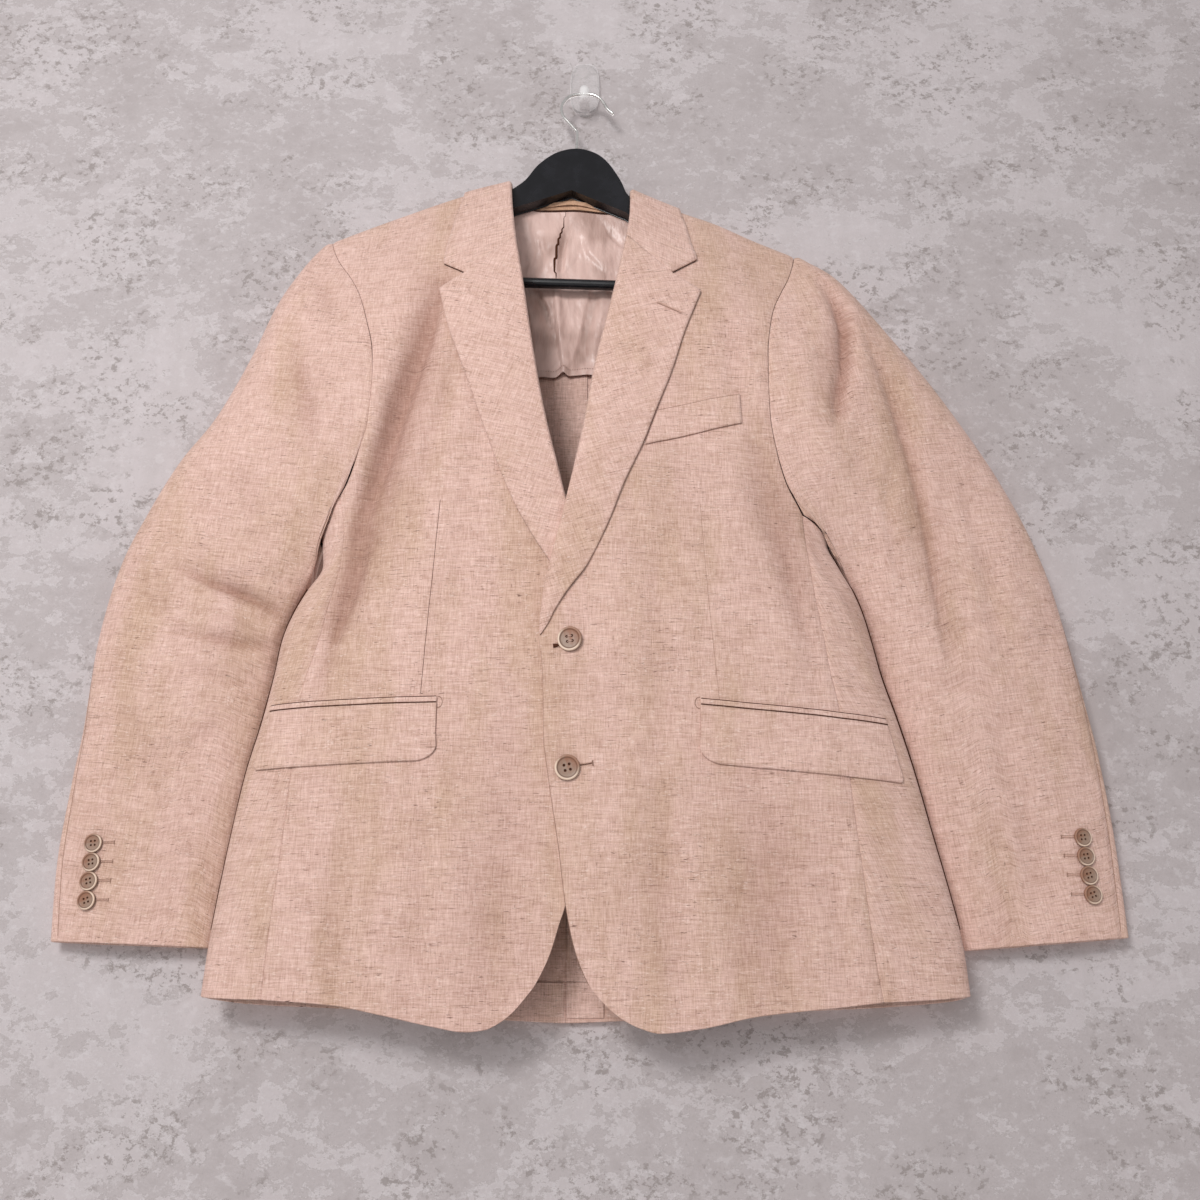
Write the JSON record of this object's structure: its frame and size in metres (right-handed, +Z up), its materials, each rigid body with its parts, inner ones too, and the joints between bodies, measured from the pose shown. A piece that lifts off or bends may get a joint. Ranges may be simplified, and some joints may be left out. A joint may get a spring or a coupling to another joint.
{
  "type": "single breasted blazer on a clothes hanger with its wall hook",
  "caption": "Single breasted tailored jacket hanging shut from a moulded clothes hanger, whose wire hook sits over a small stick-on wall hook.",
  "frame": {"origin": "centre of the wall hook's back plate, on the plane of the wall", "axes": "+Z up, +Y into the wall, +X towards the wearer's left, which is the right-hand side seen from the front"},
  "size_m": [0.8626, 0.0981, 0.9658],
  "materials": {
    "linen": "matt plain-weave linen with slubs, pinkish beige",
    "lining": "satin-weave lining with a soft sheen",
    "facing": "matt tan cloth",
    "horn": "half-gloss resin with a pale rim",
    "black": "satin black moulding",
    "chrome": "bright plated wire",
    "clear": "clear moulding"
  },
  "bodies": {
    "root": {"front_left": "linen", "front_right": "linen", "side_left": "linen", "side_right": "linen", "back_left": "linen", "back_right": "linen", "vent_underlap": "linen", "topsleeve_left": "linen", "topsleeve_right": "linen", "undersleeve_left": "linen", "undersleeve_right": "linen", "lapel_left": "linen", "lapel_right": "linen", "collar": "linen", "breast_welt": "linen", "flap_left": "linen", "flap_right": "linen", "jet_left": "linen", "jet_right": "linen", "back_lining": "lining", "neck_facing": "facing", "hanger_loop": "facing", "button_front_1": "horn", "button_front_2": "horn", "button_cuff_left_1": "horn", "button_cuff_left_2": "horn", "button_cuff_left_3": "horn", "button_cuff_left_4": "horn", "button_cuff_right_1": "horn", "button_cuff_right_2": "horn", "button_cuff_right_3": "horn", "button_cuff_right_4": "horn", "hanger": "black", "trouser_bar": "black", "wire_hook": "chrome", "wall_hook": "clear"}
  },
  "joints": []
}
